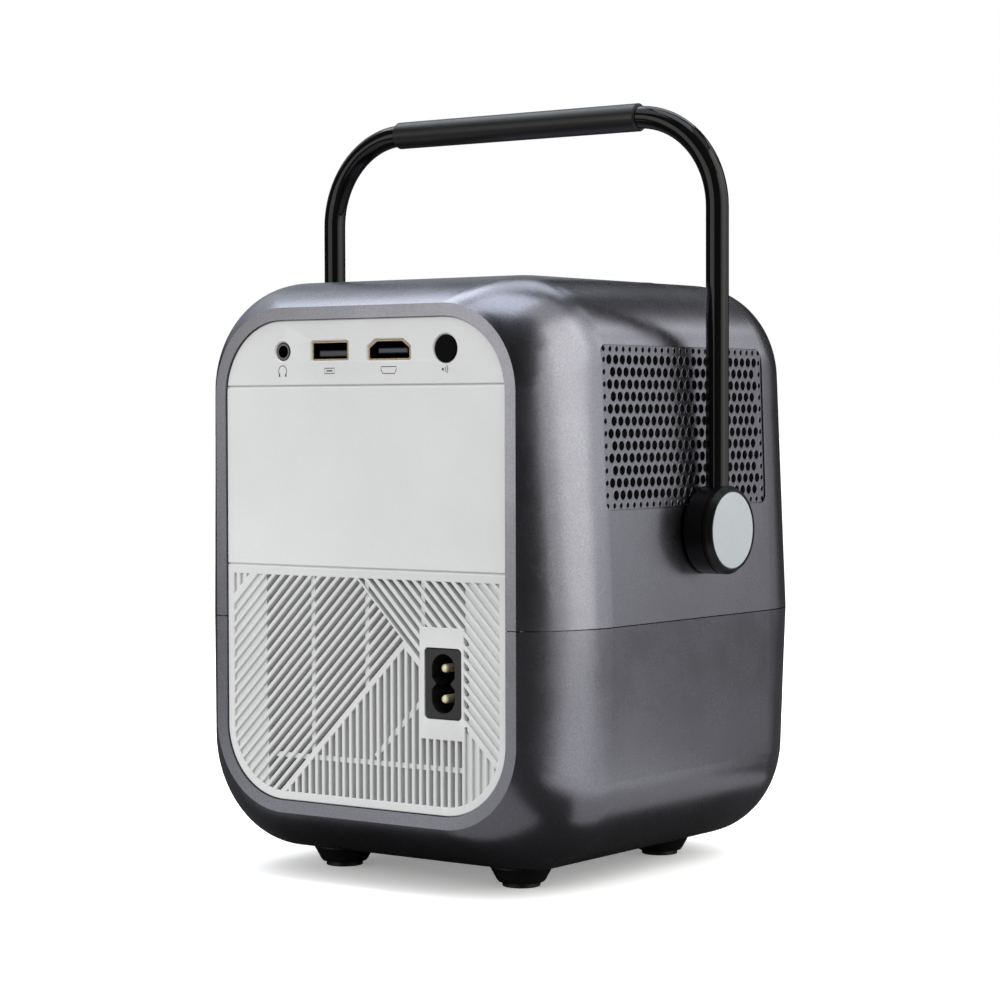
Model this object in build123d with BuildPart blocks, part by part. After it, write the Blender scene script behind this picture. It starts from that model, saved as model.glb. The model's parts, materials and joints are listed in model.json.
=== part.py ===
from build123d import *
import math
import os

# A portable home projector with a carrying handle, as separate pieces.
# Frame: millimetres, origin on the floor under the middle of the body, +Z up.
# The lens looks along -Y, the sockets face +Y, and X runs across the body.

# ------------------------------------------------------------------ driving dimensions
BODY_DEPTH = 138.4
HALF_WIDTH = 68.2  # at the seam, where the body is widest
BODY_BOTTOM = 6.0
BODY_TOP = 174.2
SEAM_Z = 75.9
SEAM_GAP = 0.3
CAP_DEPTH = 27.0  # how far the rounding of each end reaches in
CORNER_R = 27.0  # corner of the full section, seen from the front
SIDE_DRAFT = {True: 0.035, False: 0.02}  # slope of the sides, above and below the seam
WALL = 2.3

END_HALF_WIDTH = 54.5  # flat ring at each end
END_TOP = 165.9
END_BOTTOM = 19.6
END_R = 25.0
END_DRAFT = {"rear": {True: 0.0, False: 0.0}, "front": {True: 0.07, False: 0.10}}
RING = 3.6  # width of the flat ring around each opening
FRONT_TUCK, FRONT_BULGE = 6.2, 4.2  # the front opening is narrower, with bowed sides
FLANGE = 2.6  # its thickness
LIP = 1.6  # how far a panel's rim reaches behind the ring
PANEL_RECESS = 0.6
PANEL_T = 2.0
GAP = 0.15  # free play around a fitted panel

REAR_Y = BODY_DEPTH / 2
FRONT_Y = -BODY_DEPTH / 2
END_MID_Z = (END_TOP + END_BOTTOM) / 2
END_HEIGHT = END_TOP - END_BOTTOM
PANEL_Y = REAR_Y - PANEL_RECESS

UPPER_GROOVE_Z = 143.4  # between the port panel and the blank panel
LOWER_GROOVE_Z = 91.5  # between the blank panel and the grille

PORT_Z = 153.2
JACK_X, USB_X, VIDEO_X, IR_X = 29.1, 11.5, -10.1, -30.1
USB_W, USB_H = 13.2, 5.3
VIDEO_W, VIDEO_H = 15.0, 5.6
JACK_R, IR_R = 2.6, 3.9

INLET_X, INLET_Z = -28.9, 60.2
INLET_W, INLET_H, INLET_R = 12.8, 19.8, 1.3
PIN_SPACING, PIN_R = 8.6, 1.2
BOSS_LEFT, BOSS_RIGHT, BOSS_TOP, BOSS_BOTTOM = -20.6, -36.3, 75.8, 44.5

SLAT_PITCH = 3.46  # of the slanted slats, along X or Z
SLOT_SHARE = 0.52
FIELD_INSET = 6.2  # slot field, in from the ring's outline
FIELD_TOP = 88.55
THROUGH_X = 36.3
VALLEY_SUM = 55.9  # X + Z on the slat between the left and bottom fields
VALLEY_DIFF = 86.4  # Z - X on the slat between the left and right fields
CORNER_SUM = 129.4  # X + Z on the slat before the small corner field
UPRIGHT_PITCH, UPRIGHT_X = 2.53, -22.07
GROOVE_DEPTH = 0.8
SLOT_EDGE = 0.2  # bevel along the slats
GRILLE_T = 2.4

VENT_Y, VENT_Z = 1.3, 131.3
VENT_L, VENT_H, VENT_R = 85.0, 45.8, 2.6
VENT_T = 1.2
VENT_PITCH_Y, VENT_PITCH_Z = 3.358, 3.43
VENT_ROWS, VENT_COLUMNS = 12, 24
VENT_HOLE_R, VENT_SMALL_R = 1.35, 0.75

PIVOT_Y, PIVOT_Z = -6.4, 101.4
HUB_IN, HUB_OUT, HUB_R = 67.95, 77.2, 12.8
DISC_R, DISC_T = 11.2, 1.1
PIVOT_R, PIVOT_CLEARANCE = 4.0, 0.06
LEG_X, BAR_R = 71.75, 3.34
BAR_Z, BEND_R = 222.2, 27.5
LEG_BOTTOM = PIVOT_Z + 8.4
GRIP_R, GRIP_HALF = 4.15, 45.2

LENS_Z = 118.0
FRONT_PANEL_RECESS = 2.5
RING_R, RING_BORE, RUNNING = 23.0, 17.0, 0.07
CELL_R = 15.2

FOOT_X, FOOT_REAR_Y, FOOT_FRONT_Y = 32.8, 37.0, -35.4
FOOT_TOP_R, FOOT_LOW_R, PAD_R, PAD_T = 9.1, 6.6, 5.5, 1.4

KEY_R, KEY_PITCH, KEY_Y = 4.5, 14.5, -30.0
KEY_NAMES = ("key_menu", "key_back", "power_button", "key_minus", "key_plus")
KEY_PROUD, KEY_TRAVEL = 0.7, 0.6

POST_X, POST_Y, POST_R = 36.0, 14.0, 4.5
CHASSIS_Z, CHASSIS_T = 84.0, 4.0
TRIPOD_R, TRIPOD_LENGTH = 2.6, 9.0

SIDES = {"left": 1, "right": -1}

os.makedirs("parts", exist_ok=True)


def save(builder, name):
    """Label a finished piece and write it to its own file."""
    builder.part.label = name
    export_step(builder.part, f"parts/{name}.step")


# ------------------------------------------------------------------ the body's form
def arc_inset(full, depth):
    """Distance in from the full section of an arc that starts at the end face."""
    radius = (full**2 + CAP_DEPTH**2) / (2 * full)
    return radius - math.sqrt(radius**2 - (CAP_DEPTH - depth) ** 2)


def half_profile(end, upper, depth, inset=0.0, near_z=SEAM_Z):
    """Section of the upper or lower half, at a depth in from one end face."""
    side_drop = HALF_WIDTH - END_HALF_WIDTH
    fullness = 1 - arc_inset(side_drop, depth) / side_drop
    half_width = HALF_WIDTH - arc_inset(side_drop, depth) - inset
    if upper:
        sign = 1
        far_z = BODY_TOP - arc_inset(BODY_TOP - END_TOP, depth) - inset
    else:
        sign = -1
        far_z = BODY_BOTTOM + arc_inset(END_BOTTOM - BODY_BOTTOM, depth) + inset
    radius = END_R + (CORNER_R - END_R) * fullness - inset
    draft = SIDE_DRAFT[upper] * fullness + END_DRAFT[end][upper] * (1 - fullness)
    lean = math.atan(draft)
    centre_z = far_z - sign * radius
    centre_x = half_width - draft * abs(centre_z - SEAM_Z) - radius / math.cos(lean)

    def on_corner(angle):
        return (centre_x + radius * math.cos(angle), centre_z + sign * radius * math.sin(angle))

    def mirrored(point):
        return (-point[0], point[1])

    low = (half_width - draft * sign * (near_z - SEAM_Z), near_z)
    side, bend, top = on_corner(lean), on_corner((lean + math.pi / 2) / 2), on_corner(math.pi / 2)
    y = REAR_Y - depth if end == "rear" else FRONT_Y + depth
    with BuildSketch(Plane.XZ.offset(-y)) as section:
        with BuildLine():
            Line(low, side)
            ThreePointArc(side, bend, top)
            Line(top, mirrored(top))
            ThreePointArc(mirrored(top), mirrored(bend), mirrored(side))
            Line(mirrored(side), mirrored(low))
            Line(mirrored(low), low)
        make_face()
    return section.sketch


def front_outline(inset):
    """Outline of the front opening, with gently bowed sides."""
    side, top, bottom = END_HALF_WIDTH - FRONT_TUCK - inset, END_TOP - inset, END_BOTTOM + inset
    with BuildSketch(Plane.XZ.offset(-FRONT_Y)) as outline:
        with BuildLine():
            ThreePointArc((side, bottom), (side + FRONT_BULGE, END_MID_Z), (side, top))
            Line((side, top), (-side, top))
            ThreePointArc((-side, top), (-side - FRONT_BULGE, END_MID_Z), (-side, bottom))
            Line((-side, bottom), (side, bottom))
        make_face()
        fillet(outline.vertices(), END_R - inset)
    return outline.sketch


def half_body(upper, inset, first_depth, near_z):
    """Solid half of the body's form, rounded at both ends."""
    depths = [first_depth] + [d for d in (2.0, 5.0, 9.0, 14.0, 20.0, CAP_DEPTH) if d > first_depth]
    rear = [half_profile("rear", upper, d, inset, near_z) for d in depths]
    front = [half_profile("front", upper, d, inset, near_z) for d in depths]
    with BuildPart() as body:
        loft(rear)
        extrude(rear[-1], amount=BODY_DEPTH - 2 * CAP_DEPTH)
        loft(front)
    return body.part


def side_plane(side, z):
    """Plane that lies on the drafted side of the upper shell, facing out."""
    x = HALF_WIDTH - SIDE_DRAFT[True] * (z - SEAM_Z)
    return Plane(origin=(side * x, 0, z), x_dir=(0, side, 0), z_dir=(side, 0, SIDE_DRAFT[True]))


def seam_plan(inset):
    """Outline of the body at the seam, seen from above, in from the outer skin."""
    side_drop = HALF_WIDTH - END_HALF_WIDTH
    corner = (HALF_WIDTH - inset, REAR_Y - CAP_DEPTH)
    middle = (HALF_WIDTH - arc_inset(side_drop, CAP_DEPTH / 2) - inset, REAR_Y - CAP_DEPTH / 2)
    tip = (HALF_WIDTH - arc_inset(side_drop, FLANGE) - inset, REAR_Y - FLANGE)
    with BuildSketch() as plan:
        with BuildLine() as quarter:
            Line((0, tip[1]), tip)
            ThreePointArc(tip, middle, corner)
            Line(corner, (corner[0], 0))
            mirror(about=Plane.XZ)
            mirror(about=Plane.YZ)
        make_face()
    return plan.sketch


# ------------------------------------------------------------------ casings
def make_upper_shell():
    outer = half_body(True, 0, 0, SEAM_Z + SEAM_GAP / 2)
    inner = half_body(True, WALL, FLANGE, SEAM_Z - 1)
    rear_opening = half_profile("rear", True, 0, RING, SEAM_Z - 1)
    front_opening = front_outline(RING)
    with BuildPart() as shell:
        add(outer)
        add(inner, mode=Mode.SUBTRACT)
        for opening in (rear_opening, front_opening):
            extrude(opening, amount=FLANGE + 1, both=True, mode=Mode.SUBTRACT)
        # bosses that carry the handle's pins, bored through
        for side in SIDES.values():
            with BuildSketch(Plane.YZ.offset(side * 62)):
                with Locations((PIVOT_Y, PIVOT_Z)):
                    Circle(9)
            extrude(amount=side * 4, mode=Mode.ADD)
            with BuildSketch(Plane.YZ.offset(side * 58)):
                with Locations((PIVOT_Y, PIVOT_Z)):
                    Circle(PIVOT_R + 0.1)
            extrude(amount=side * 12, mode=Mode.SUBTRACT)
        for side in SIDES.values():
            # window for the perforated vent, with a step that the vent sits on
            with BuildSketch(side_plane(side, VENT_Z)):
                with Locations((side * VENT_Y, 0)):
                    RectangleRounded(VENT_L + 2 * GAP, VENT_H + 2 * GAP, VENT_R + GAP)
            extrude(amount=-(VENT_T + 0.35), mode=Mode.SUBTRACT)
            with BuildSketch(side_plane(side, VENT_Z)):
                with Locations((side * VENT_Y, 0)):
                    Rectangle(VENT_L - 4, VENT_H - 4)
            extrude(amount=-WALL * 2, mode=Mode.SUBTRACT)
        # shallow seat and window for the keys' bezel in the top
        with BuildSketch(Plane.XY.offset(BODY_TOP)):
            with Locations((0, KEY_Y)):
                SlotCenterToCenter(4 * KEY_PITCH + 4 + 2 * GAP, 15 + 2 * GAP)
        extrude(amount=-1.5, mode=Mode.SUBTRACT)
        with BuildSketch(Plane.XY.offset(BODY_TOP)):
            with Locations((0, KEY_Y)):
                SlotCenterToCenter(4 * KEY_PITCH + 2, 11.5)
        extrude(amount=-WALL * 2, mode=Mode.SUBTRACT)
    save(shell, "upper_shell")


def make_lower_shell():
    outer = half_body(False, 0, 0, SEAM_Z - SEAM_GAP / 2)
    inner = half_body(False, WALL, FLANGE, SEAM_Z + 1)
    rear_opening = half_profile("rear", False, 0, RING, SEAM_Z + 1)
    front_opening = front_outline(RING)
    lip_outer, lip_inner = seam_plan(WALL + 0.3), seam_plan(WALL + 1.5)
    lip_root = seam_plan(WALL - 0.5)
    floor_z = BODY_BOTTOM + WALL
    with BuildPart() as shell:
        add(outer)
        add(inner, mode=Mode.SUBTRACT)
        # lip that the upper shell closes over, cleared where the end openings are
        with BuildPart(mode=Mode.PRIVATE) as lip:
            extrude(lip_outer, amount=3)
            extrude(lip_root, amount=-3)
            extrude(lip_inner, amount=8, both=True, mode=Mode.SUBTRACT)
            with BuildSketch(Plane.XZ) as gate:
                Rectangle(2 * (END_HALF_WIDTH - RING + LIP + 0.6), 20)
            extrude(amount=BODY_DEPTH, both=True, mode=Mode.SUBTRACT)
        add(lip.part.moved(Location((0, 0, SEAM_Z - 0.2))))
        for opening in (rear_opening, front_opening):
            extrude(opening, amount=FLANGE + 1, both=True, mode=Mode.SUBTRACT)
        # posts for the bottom screws
        with BuildSketch(Plane.XY.offset(floor_z - 0.5)):
            with GridLocations(2 * POST_X, 2 * POST_Y, 2, 2):
                Circle(POST_R)
        extrude(amount=8)
        # boss for the stand's threaded insert
        with BuildSketch(Plane.XY.offset(floor_z - 0.5)):
            Circle(9)
        extrude(amount=8)
        # ribs that the power board rests on
        with BuildSketch(Plane.XY.offset(floor_z - 0.5)):
            for x in (-26, 26):
                with Locations((x, -5)):
                    Rectangle(2, 84)
        extrude(amount=12.2)
        with BuildSketch(Plane.XY.offset(BODY_BOTTOM - 1)):
            Circle(6.05)
        extrude(amount=16, mode=Mode.SUBTRACT)
        with BuildSketch(Plane.XY.offset(BODY_BOTTOM - 1)):
            with GridLocations(2 * POST_X, 2 * POST_Y, 2, 2):
                Circle(3.2)
        extrude(amount=4.2, mode=Mode.SUBTRACT)
        with BuildSketch(Plane.XY.offset(BODY_BOTTOM)):
            with GridLocations(2 * POST_X, 2 * POST_Y, 2, 2):
                Circle(1.6)
        extrude(amount=20, mode=Mode.SUBTRACT)
        # seats of the four feet
        with BuildSketch(Plane.XY.offset(BODY_BOTTOM - 1)):
            for x in (-FOOT_X, FOOT_X):
                with Locations((x, FOOT_REAR_Y), (x, FOOT_FRONT_Y)):
                    Circle(FOOT_TOP_R + 0.05)
        extrude(amount=1.6, mode=Mode.SUBTRACT)
    save(shell, "lower_shell")


def make_vents():
    """Perforated plates: staggered rows of holes inside a border of small ones."""
    last = VENT_COLUMNS - 1
    for name, side in SIDES.items():
        plane = side_plane(side, VENT_Z).offset(-0.35)
        with BuildPart() as vent:
            with BuildSketch(plane):
                with Locations((side * VENT_Y, 0)):
                    RectangleRounded(VENT_L, VENT_H, VENT_R)
                holes = []
                for row in range(VENT_ROWS):
                    z = ((VENT_ROWS - 1) / 2 - row) * VENT_PITCH_Z
                    stagger = 0.5 * (row % 2)
                    for column in range(VENT_COLUMNS - row % 2):
                        y = (column + stagger - last / 2) * VENT_PITCH_Y
                        holes.append((side * VENT_Y + y, z))
                with Locations(*holes):
                    Circle(VENT_HOLE_R, mode=Mode.SUBTRACT)
                border_y = (last / 2 + 0.78) * VENT_PITCH_Y
                border_z = ((VENT_ROWS - 1) / 2 + 0.86) * VENT_PITCH_Z
                small = []
                for row in range(VENT_ROWS):
                    z = ((VENT_ROWS - 1) / 2 - row) * VENT_PITCH_Z
                    small += [(side * VENT_Y - border_y, z), (side * VENT_Y + border_y, z)]
                for column in range(VENT_COLUMNS + 2):
                    y = border_y * (2 * column / (VENT_COLUMNS + 1) - 1)
                    small += [(side * VENT_Y + y, border_z), (side * VENT_Y + y, -border_z)]
                with Locations(*small):
                    Circle(VENT_SMALL_R, mode=Mode.SUBTRACT)
            extrude(amount=-VENT_T)
        save(vent, f"vent_{name}")


# ------------------------------------------------------------------ rear face
def rear_slab(bottom, top, outline_inset, y, thickness):
    """Slab of the rear opening's outline between two heights."""
    with BuildPart() as slab:
        with BuildSketch(Plane.XZ.offset(-y)):
            with Locations((0, END_MID_Z)):
                RectangleRounded(
                    2 * (END_HALF_WIDTH - outline_inset),
                    END_HEIGHT - 2 * outline_inset,
                    END_R - outline_inset,
                )
            with Locations((0, (bottom + top) / 2)):
                Rectangle(2 * END_HALF_WIDTH, top - bottom, mode=Mode.INTERSECT)
        extrude(amount=thickness)
    return slab.part


def video_outline(grow):
    """Video socket's outline: a box with its two upper corners cut off."""
    half, low, high = VIDEO_W / 2 + grow, -VIDEO_H / 2 - grow, VIDEO_H / 2 + grow
    cut_x, cut_z = 2.7, 1.9
    points = [(-half, low), (half, low), (half, high - cut_z), (half - cut_x, high)]
    points += [(-half + cut_x, high), (-half, high - cut_z)]
    with BuildSketch() as outline:
        with BuildLine():
            Polyline(*points, close=True)
        make_face()
        fillet(outline.vertices(), 0.5)
    return outline.sketch


def make_rear_port_panel():
    front = rear_slab(UPPER_GROOVE_Z + 0.05, END_TOP, RING + GAP, PANEL_Y, PANEL_T)
    rim = rear_slab(UPPER_GROOVE_Z + 0.05, END_TOP, RING - LIP, PANEL_Y - PANEL_T, 1.4)
    video = video_outline(0.1)
    with BuildPart() as panel:
        add(front)
        add(rim)
        edges = panel.faces().sort_by(Axis.Y)[-1].edges()
        chamfer(edges, 0.25)
        with BuildSketch(Plane.XZ.offset(-PANEL_Y - 1)):
            with Locations((JACK_X, PORT_Z)):
                Circle(JACK_R + 0.1)
            with Locations((IR_X, PORT_Z)):
                Circle(IR_R + 0.1)
            with Locations((USB_X, PORT_Z)):
                RectangleRounded(USB_W + 0.2, USB_H + 0.2, 0.5)
            with Locations((VIDEO_X, PORT_Z)):
                add(video)
        extrude(amount=6, mode=Mode.SUBTRACT)
        holes = panel.faces().sort_by(Axis.Y)[-1].inner_wires()
        chamfer(holes.edges(), 0.4)
    save(panel, "rear_port_panel")


def make_rear_blank_panel():
    low, high = LOWER_GROOVE_Z + 0.05, UPPER_GROOVE_Z - 0.05
    front = rear_slab(low, high, RING + GAP, PANEL_Y, PANEL_T)
    rim = rear_slab(low, high, RING - LIP, PANEL_Y - PANEL_T, 1.4)
    with BuildPart() as panel:
        add(front)
        add(rim)
        chamfer(panel.faces().sort_by(Axis.Y)[-1].edges().sort_by(Axis.Z)[:-1], 0.25)
        chamfer(panel.faces().sort_by(Axis.Y)[-1].edges().sort_by(Axis.Z)[-1], 0.7)
    save(panel, "rear_blank_panel")


def slot_field():
    """Whole area of the grille that carries slots, without the inlet's boss."""
    with BuildSketch(Plane.XZ.offset(-PANEL_Y - 1)) as field:
        with Locations((0, END_MID_Z)):
            RectangleRounded(
                2 * (END_HALF_WIDTH - FIELD_INSET),
                END_HEIGHT - 2 * FIELD_INSET,
                END_R - FIELD_INSET,
            )
        with Locations((0, FIELD_TOP / 2)):
            Rectangle(2 * END_HALF_WIDTH, FIELD_TOP, mode=Mode.INTERSECT)
        boss_mid = ((BOSS_LEFT + BOSS_RIGHT) / 2, (BOSS_TOP + BOSS_BOTTOM) / 2)
        with Locations(boss_mid):
            Rectangle(BOSS_LEFT - BOSS_RIGHT, BOSS_TOP - BOSS_BOTTOM, mode=Mode.SUBTRACT)
    return field.sketch


def slanted_slots(field, rising, low, high, limits):
    """Slots at 45 degrees, one pitch apart, inside a half-plane region of the field.

    A rising slot keeps X + Z constant, and a falling one keeps Z - X constant.
    """
    direction = -1 if rising else 1
    count = int((high - low) / SLAT_PITCH)
    width = SLAT_PITCH * SLOT_SHARE / math.sqrt(2)
    with BuildSketch(Plane.XZ.offset(-PANEL_Y - 1)) as slots:
        for index in range(count):
            middle = (low + (index + 0.5) * SLAT_PITCH) / 2
            with Locations(Location((-direction * middle, middle, 0), (0, 0, direction * 45))):
                Rectangle(300, width)
        with BuildLine():
            Polyline(*limits, close=True)
        make_face(mode=Mode.INTERSECT)
        add(field, mode=Mode.INTERSECT)
    return slots.sketch


def grille_slots():
    """All slots of the grille: two slanted fields, upright ones and a corner field."""
    field = slot_field()
    half_slat = SLAT_PITCH * (1 - SLOT_SHARE) / 2
    meet_x = (VALLEY_SUM - VALLEY_DIFF) / 2
    far = 150
    meet_z = VALLEY_SUM - meet_x
    left = [(meet_x, meet_z), (meet_x + far, meet_z + far), (meet_x + far, meet_z - far)]
    rising = slanted_slots(field, True, VALLEY_SUM, CORNER_SUM, left)
    right = [(meet_x, meet_z), (meet_x + far, meet_z + far), (-far, far), (meet_x - far, meet_z - far)]
    falling = slanted_slots(field, False, VALLEY_DIFF, VALLEY_DIFF + 22 * SLAT_PITCH, right)
    with BuildSketch(Plane.XZ.offset(-PANEL_Y - 1)) as upright:
        for index in range(-28, 11):
            with Locations((UPRIGHT_X - index * UPRIGHT_PITCH, END_MID_Z)):
                Rectangle(UPRIGHT_PITCH * 0.56, END_HEIGHT)
        with BuildLine():
            Polyline(
                (meet_x, meet_z - half_slat * 2),
                (meet_x + far, meet_z - half_slat * 2 - far),
                (meet_x - far, meet_z - half_slat * 2 - far),
                close=True,
            )
        make_face(mode=Mode.INTERSECT)
        add(field, mode=Mode.INTERSECT)
    with BuildSketch(Plane.XZ.offset(-PANEL_Y - 1)) as corner:
        for index in range(4):
            with Locations((47.9 - index * UPRIGHT_PITCH, FIELD_TOP)):
                Rectangle(1.2, 30)
        with BuildLine():
            cut = CORNER_SUM + half_slat * 2
            Polyline(
                (cut - 60, 60),
                (cut, 60),
                (cut, FIELD_TOP + 20),
                (cut - FIELD_TOP - 20, FIELD_TOP + 20),
                close=True,
            )
        make_face(mode=Mode.INTERSECT)
        add(field, mode=Mode.INTERSECT)
    return rising, falling, upright.sketch, corner.sketch


def widened(slots, amount):
    """The same slots on the grille's face, larger all round."""
    with BuildSketch(Plane.XZ.offset(-PANEL_Y - 1)) as wider:
        add(slots)
        offset(amount=amount, kind=Kind.INTERSECTION)
    return wider.sketch.moved(Location((0, -1, 0)))


def make_rear_grille():
    top = LOWER_GROOVE_Z - 0.05
    front = rear_slab(END_BOTTOM, top, RING + GAP, PANEL_Y, GRILLE_T)
    rim = rear_slab(END_BOTTOM, top, RING - LIP, PANEL_Y - PANEL_T, 1.4)
    inside = rear_slab(END_BOTTOM, top, FIELD_INSET - 0.4, PANEL_Y - GRILLE_T, 3)
    fields = grille_slots()
    slot_mouths = [widened(slots, SLOT_EDGE) for slots in fields]
    with BuildPart() as grille:
        add(front)
        add(rim)
        add(inside, mode=Mode.SUBTRACT)
        chamfer(grille.faces().sort_by(Axis.Y)[-1].edges().sort_by(Axis.Z)[:-1], 0.25)
        chamfer(grille.faces().sort_by(Axis.Y)[-1].edges().sort_by(Axis.Z)[-1], 0.7)
        # blind grooves over the whole field, cut through in the middle of it
        for slots in fields:
            extrude(slots, amount=1 + GROOVE_DEPTH, mode=Mode.SUBTRACT)
        with BuildSketch(Plane.XZ.offset(-PANEL_Y - 1)):
            add(fields[:3])
            with Locations((0, END_MID_Z)):
                Rectangle(2 * THROUGH_X, END_HEIGHT, mode=Mode.INTERSECT)
        extrude(amount=8, mode=Mode.SUBTRACT)
        # every slot widens a little towards the face
        for mouths in slot_mouths:
            extrude(mouths, amount=SLOT_EDGE, taper=45, mode=Mode.SUBTRACT)
        # short dashes beside the inlet's boss
        with BuildSketch(Plane.XZ.offset(-PANEL_Y - 1)):
            for index in range(8):
                with Locations((BOSS_RIGHT - 0.7, 72.0 - index * SLAT_PITCH)):
                    Rectangle(0.9, 1.8)
        extrude(amount=1 + 3 * GROOVE_DEPTH, mode=Mode.SUBTRACT)
        # ribs that tie the slats together behind their faces
        with BuildSketch(Plane.XZ.offset(-(PANEL_Y - GRILLE_T))):
            for x, low in ((18.65, VALLEY_SUM - 18.65), (-1.3, VALLEY_SUM + 1.3), (-21.5, BOSS_TOP - 1)):
                with Locations((x, (low + FIELD_TOP + 1) / 2)):
                    Rectangle(1.35, FIELD_TOP + 1 - low)
            with Locations((-5, 36.4)):
                Rectangle(2 * THROUGH_X + 3, 1.45)
            with Locations(Location((-12.4, 46.4, 0), (0, 0, -45))):
                Rectangle(23, 1.4)
            with Locations((THROUGH_X + 1.5, 38)):
                Rectangle(4, 20)
        extrude(amount=-(GRILLE_T - 0.8))
        # hole for the mains inlet, through the boss
        with BuildSketch(Plane.XZ.offset(-PANEL_Y - 1)):
            with Locations((INLET_X, INLET_Z)):
                RectangleRounded(INLET_W + 0.2, INLET_H + 0.2, INLET_R + 0.1)
        extrude(amount=8, mode=Mode.SUBTRACT)
    save(grille, "rear_grille")


def make_dust_filter():
    sheet = rear_slab(END_BOTTOM, LOWER_GROOVE_Z - 2, FIELD_INSET + 1, PANEL_Y - GRILLE_T - 1.6, 1.2)
    with BuildPart() as dust_filter:
        add(sheet)
        with BuildSketch(Plane.XZ.offset(-PANEL_Y)):
            with Locations((INLET_X, INLET_Z)):
                RectangleRounded(INLET_W + 1, INLET_H + 1, INLET_R)
            # the filter stops short of the lower corner of the slanted slots
            with Locations((34, 26)):
                Rectangle(32, 20)
        extrude(amount=10, mode=Mode.SUBTRACT)
    save(dust_filter, "dust_filter")


def make_mains_inlet():
    """Black socket with a notched cavity around two round pins."""
    face_y = PANEL_Y - 0.25
    pins = [(INLET_X, INLET_Z + PIN_SPACING / 2), (INLET_X, INLET_Z - PIN_SPACING / 2)]
    with BuildPart() as inlet:
        with BuildSketch(Plane.XZ.offset(-face_y)):
            with Locations((INLET_X, INLET_Z)):
                RectangleRounded(INLET_W, INLET_H, INLET_R)
        extrude(amount=15)
        chamfer(inlet.faces().sort_by(Axis.Y)[-1].edges(), 0.3)
        with BuildSketch(Plane.XZ.offset(-face_y)):
            with Locations(Location((INLET_X, INLET_Z, 0), (0, 0, 90))):
                SlotOverall(PIN_SPACING + 8.0, 8.0)
            for side in (-1, 1):
                with BuildLine():
                    edge_x = INLET_X + side * 4.2
                    Polyline(
                        (edge_x, INLET_Z - 1.9),
                        (edge_x, INLET_Z + 1.9),
                        (edge_x - side * 1.7, INLET_Z),
                        close=True,
                    )
                make_face(mode=Mode.SUBTRACT)
        extrude(amount=11.5, mode=Mode.SUBTRACT)
        with BuildSketch(Plane.XZ.offset(-face_y + 11)):
            with Locations(*pins):
                Circle(PIN_R)
        extrude(amount=3, mode=Mode.SUBTRACT)
    save(inlet, "mains_inlet")
    with BuildPart() as contacts:
        with BuildSketch(Plane.XZ.offset(-face_y + 0.4)):
            with Locations(*pins):
                Circle(PIN_R)
        extrude(amount=13.6)
        tips = contacts.faces().filter_by(Axis.Y).group_by(Axis.Y)[-1]
        fillet(tips.edges(), 0.7)
    save(contacts, "mains_pins")


def make_sockets():
    """Metal shells and plastic tongues of the two rectangular sockets."""
    mouth_y, length, sheet = PANEL_Y - 0.4, 13.0, 0.35
    tongue_y = mouth_y - 1.6
    with BuildPart() as usb:
        with BuildSketch(Plane.XZ.offset(-mouth_y)):
            with Locations((USB_X, PORT_Z)):
                RectangleRounded(USB_W, USB_H, 0.45)
        extrude(amount=length)
        with BuildSketch(Plane.XZ.offset(-mouth_y)):
            with Locations((USB_X, PORT_Z)):
                RectangleRounded(USB_W - 2 * sheet, USB_H - 2 * sheet, 0.2)
        extrude(amount=length - 1, mode=Mode.SUBTRACT)
    save(usb, "usb_socket")
    with BuildPart() as usb_tongue:
        with BuildSketch(Plane.XZ.offset(-tongue_y)):
            with Locations((USB_X, PORT_Z - 0.75)):
                Rectangle(11.0, 1.8)
        extrude(amount=length - 2.6)
        chamfer(usb_tongue.faces().sort_by(Axis.Y)[-1].edges(), 0.3)
    save(usb_tongue, "usb_tongue")
    outer, inner = video_outline(0), video_outline(-sheet)
    with BuildPart() as video:
        with BuildSketch(Plane.XZ.offset(-mouth_y)):
            with Locations((VIDEO_X, PORT_Z)):
                add(outer)
        extrude(amount=length)
        with BuildSketch(Plane.XZ.offset(-mouth_y)):
            with Locations((VIDEO_X, PORT_Z)):
                add(inner)
        extrude(amount=length - 1, mode=Mode.SUBTRACT)
    save(video, "video_socket")
    with BuildPart() as video_tongue:
        with BuildSketch(Plane.XZ.offset(-tongue_y)):
            with Locations((VIDEO_X, PORT_Z - 0.2)):
                Rectangle(10.6, 1.5)
        extrude(amount=length - 2.6)
        chamfer(video_tongue.faces().sort_by(Axis.Y)[-1].edges(), 0.25)
    save(video_tongue, "video_tongue")


def make_audio_jack():
    with BuildPart() as jack:
        with BuildSketch(Plane.XZ.offset(-(PANEL_Y - 0.3))):
            with Locations((JACK_X, PORT_Z)):
                Circle(JACK_R)
        extrude(amount=13)
        chamfer(jack.faces().sort_by(Axis.Y)[-1].edges(), 0.3)
        with BuildSketch(Plane.XZ.offset(-(PANEL_Y - 0.3))):
            with Locations((JACK_X, PORT_Z)):
                Circle(1.8)
        extrude(amount=12, mode=Mode.SUBTRACT)
    save(jack, "audio_jack")


def make_ir_window():
    with BuildPart() as window:
        with BuildSketch(Plane.XZ.offset(-(PANEL_Y - 0.1))):
            with Locations((IR_X, PORT_Z)):
                Circle(IR_R)
        extrude(amount=3.5)
        chamfer(window.faces().sort_by(Axis.Y)[-1].edges(), 0.2)
    save(window, "ir_window")


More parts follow.
